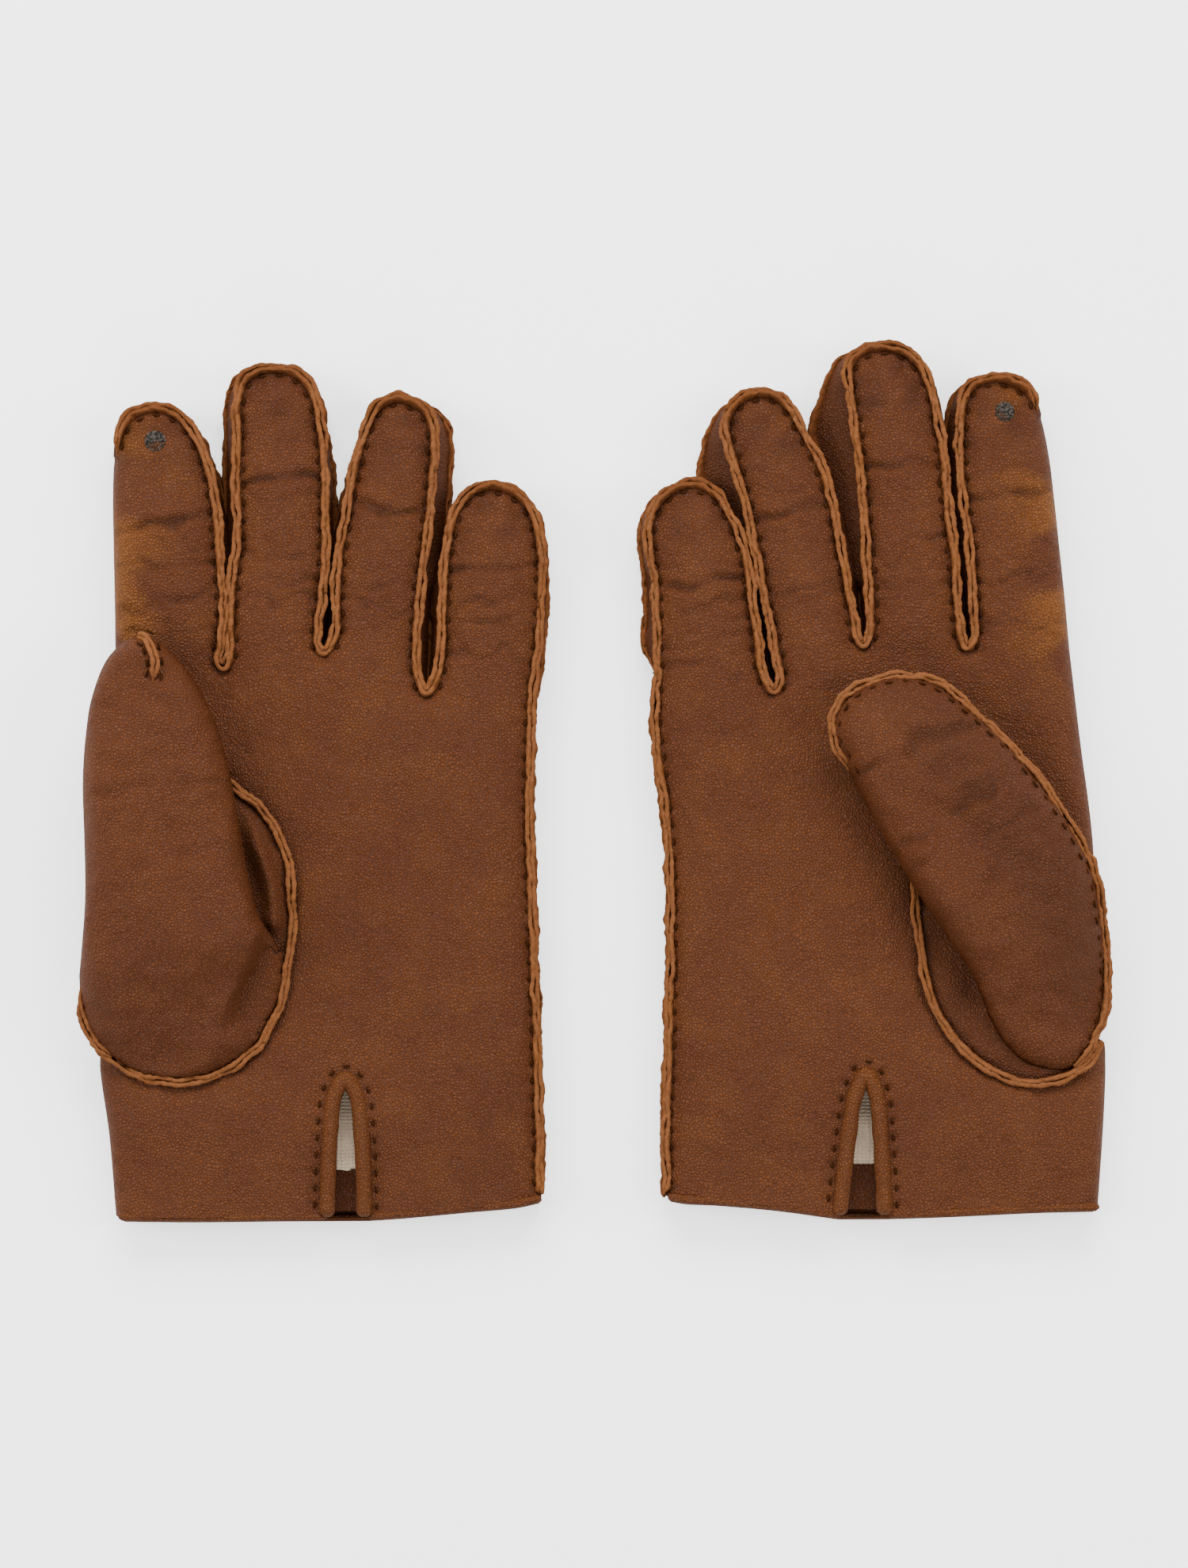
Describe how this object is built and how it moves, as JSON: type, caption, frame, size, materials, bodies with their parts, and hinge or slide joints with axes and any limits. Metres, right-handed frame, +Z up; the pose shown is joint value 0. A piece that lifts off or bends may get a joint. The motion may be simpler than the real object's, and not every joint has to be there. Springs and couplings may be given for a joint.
{
  "type": "pair of leather gloves",
  "caption": "Pair of lined leather dress gloves with hand-sewn raw-edge outseams, a bound palm vent and a small touch patch on the index fingertip, lying palm up.",
  "frame": {"origin": "under the middle of the pair, on the surface that the gloves lie on", "axes": "+Z up out of the palms, +Y from the cuffs to the fingertips, +X from the left glove to the right glove"},
  "size_m": [0.266, 0.228, 0.0296],
  "materials": {
    "leather": "aniline brown nappa, semi-gloss, burnished darker in the creases",
    "raw_edge": "cut suede edge of the skin, tan, matt",
    "thread": "waxed dark brown sewing thread",
    "lining": "brushed cream knit",
    "touch_patch": "grey-brown perforated conductive spot"
  },
  "bodies": {
    "left_hand": {"left_trank_hand": "leather", "left_hem_facing": "leather", "left_hand_lining": "lining", "left_vent_binding": "leather", "left_thumb_gusset": "leather"},
    "left_index_base": {"left_index_trank_base": "leather", "left_index_fourchette_base": "leather", "left_index_lining_base": "lining"},
    "left_index_tip": {"left_index_tip": "leather", "left_index_tip_lining": "lining", "left_index_touch_patch": "touch_patch"},
    "left_middle_base": {"left_middle_trank_base": "leather", "left_middle_fourchette_base": "leather", "left_middle_lining_base": "lining"},
    "left_middle_tip": {"left_middle_tip": "leather", "left_middle_tip_lining": "lining"},
    "left_ring_base": {"left_ring_trank_base": "leather", "left_ring_fourchette_base": "leather", "left_ring_lining_base": "lining"},
    "left_ring_tip": {"left_ring_tip": "leather", "left_ring_tip_lining": "lining"},
    "left_little_base": {"left_little_trank_base": "leather", "left_little_fourchette_base": "leather", "left_little_lining_base": "lining"},
    "left_little_tip": {"left_little_tip": "leather", "left_little_tip_lining": "lining"},
    "left_thumb_base": {"left_thumb_base": "leather", "left_thumb_base_lining": "lining"},
    "left_thumb_tip": {"left_thumb_tip": "leather", "left_thumb_tip_lining": "lining"},
    "right_hand": {"right_trank_hand": "leather", "right_hem_facing": "leather", "right_hand_lining": "lining", "right_vent_binding": "leather", "right_thumb_gusset": "leather"},
    "right_index_base": {"right_index_trank_base": "leather", "right_index_fourchette_base": "leather", "right_index_lining_base": "lining"},
    "right_index_tip": {"right_index_tip": "leather", "right_index_tip_lining": "lining", "right_index_touch_patch": "touch_patch"},
    "right_middle_base": {"right_middle_trank_base": "leather", "right_middle_fourchette_base": "leather", "right_middle_lining_base": "lining"},
    "right_middle_tip": {"right_middle_tip": "leather", "right_middle_tip_lining": "lining"},
    "right_ring_base": {"right_ring_trank_base": "leather", "right_ring_fourchette_base": "leather", "right_ring_lining_base": "lining"},
    "right_ring_tip": {"right_ring_tip": "leather", "right_ring_tip_lining": "lining"},
    "right_little_base": {"right_little_trank_base": "leather", "right_little_fourchette_base": "leather", "right_little_lining_base": "lining"},
    "right_little_tip": {"right_little_tip": "leather", "right_little_tip_lining": "lining"},
    "right_thumb_base": {"right_thumb_base": "leather", "right_thumb_base_lining": "lining"},
    "right_thumb_tip": {"right_thumb_tip": "leather", "right_thumb_tip_lining": "lining"}
  },
  "joints": [
    {"name": "left_index_knuckle", "type": "hinge", "parent": "left_hand", "child": "left_index_base", "pos_m": [-0.1104, 0.0401, 0.015], "axis": [1, 0, 0], "range_deg": [0, 90]},
    {"name": "left_index_crease", "type": "hinge", "parent": "left_index_base", "child": "left_index_tip", "pos_m": [-0.11166, 0.06777, 0.015], "axis": [1, 0, 0], "range_deg": [0, 100]},
    {"name": "left_middle_knuckle", "type": "hinge", "parent": "left_hand", "child": "left_middle_base", "pos_m": [-0.0824, 0.0401, 0.015], "axis": [1, 0, 0], "range_deg": [0, 90]},
    {"name": "left_middle_crease", "type": "hinge", "parent": "left_middle_base", "child": "left_middle_tip", "pos_m": [-0.08316, 0.07979, 0.015], "axis": [1, 0, 0], "range_deg": [0, 100]},
    {"name": "left_ring_knuckle", "type": "hinge", "parent": "left_hand", "child": "left_ring_base", "pos_m": [-0.0555, 0.038, 0.015], "axis": [1, 0, 0], "range_deg": [0, 90]},
    {"name": "left_ring_crease", "type": "hinge", "parent": "left_ring_base", "child": "left_ring_tip", "pos_m": [-0.05257, 0.07147, 0.015], "axis": [1, 0, 0], "range_deg": [0, 70]},
    {"name": "left_little_knuckle", "type": "hinge", "parent": "left_hand", "child": "left_little_base", "pos_m": [-0.0288, 0.0287, 0.015], "axis": [1, 0, 0], "range_deg": [0, 90]},
    {"name": "left_little_crease", "type": "hinge", "parent": "left_little_base", "child": "left_little_tip", "pos_m": [-0.02764, 0.05247, 0.015], "axis": [1, 0, 0], "range_deg": [0, 100]},
    {"name": "left_thumb_knuckle", "type": "hinge", "parent": "left_hand", "child": "left_thumb_base", "pos_m": [-0.1113, -0.05, 0.0296], "axis": [0.9984, 0.0558, 0], "range_deg": [0, 75]},
    {"name": "left_thumb_crease", "type": "hinge", "parent": "left_thumb_base", "child": "left_thumb_tip", "pos_m": [-0.11413, 0.00062, 0.0296], "axis": [0.9984, 0.0558, 0], "range_deg": [0, 80]},
    {"name": "right_index_knuckle", "type": "hinge", "parent": "right_hand", "child": "right_index_base", "pos_m": [0.1107, 0.039, 0.015], "axis": [1, 0, 0], "range_deg": [0, 90]},
    {"name": "right_index_crease", "type": "hinge", "parent": "right_index_base", "child": "right_index_tip", "pos_m": [0.10716, 0.07513, 0.015], "axis": [1, 0, 0], "range_deg": [0, 100]},
    {"name": "right_middle_knuckle", "type": "hinge", "parent": "right_hand", "child": "right_middle_base", "pos_m": [0.0838, 0.039, 0.015], "axis": [1, 0, 0], "range_deg": [0, 90]},
    {"name": "right_middle_crease", "type": "hinge", "parent": "right_middle_base", "child": "right_middle_tip", "pos_m": [0.07886, 0.08232, 0.015], "axis": [1, 0, 0], "range_deg": [0, 100]},
    {"name": "right_ring_knuckle", "type": "hinge", "parent": "right_hand", "child": "right_ring_base", "pos_m": [0.0565, 0.0359, 0.015], "axis": [1, 0, 0], "range_deg": [0, 90]},
    {"name": "right_ring_crease", "type": "hinge", "parent": "right_ring_base", "child": "right_ring_tip", "pos_m": [0.04924, 0.07065, 0.015], "axis": [1, 0, 0], "range_deg": [0, 70]},
    {"name": "right_little_knuckle", "type": "hinge", "parent": "right_hand", "child": "right_little_base", "pos_m": [0.0299, 0.0287, 0.015], "axis": [1, 0, 0], "range_deg": [0, 90]},
    {"name": "right_little_crease", "type": "hinge", "parent": "right_little_base", "child": "right_little_tip", "pos_m": [0.02817, 0.05174, 0.015], "axis": [1, 0, 0], "range_deg": [0, 100]},
    {"name": "right_thumb_knuckle", "type": "hinge", "parent": "right_hand", "child": "right_thumb_base", "pos_m": [0.1164, -0.0448, 0.0296], "axis": [0.8415, 0.5402, 0], "range_deg": [0, 75]},
    {"name": "right_thumb_crease", "type": "hinge", "parent": "right_thumb_base", "child": "right_thumb_tip", "pos_m": [0.09225, -0.00718, 0.0296], "axis": [0.8415, 0.5402, 0], "range_deg": [0, 80]},
    {"name": "pair_spread", "type": "slide", "parent": "left_hand", "child": "right_hand", "axis": [1, 0, 0], "range_m": [0, 0.15]}
  ]
}
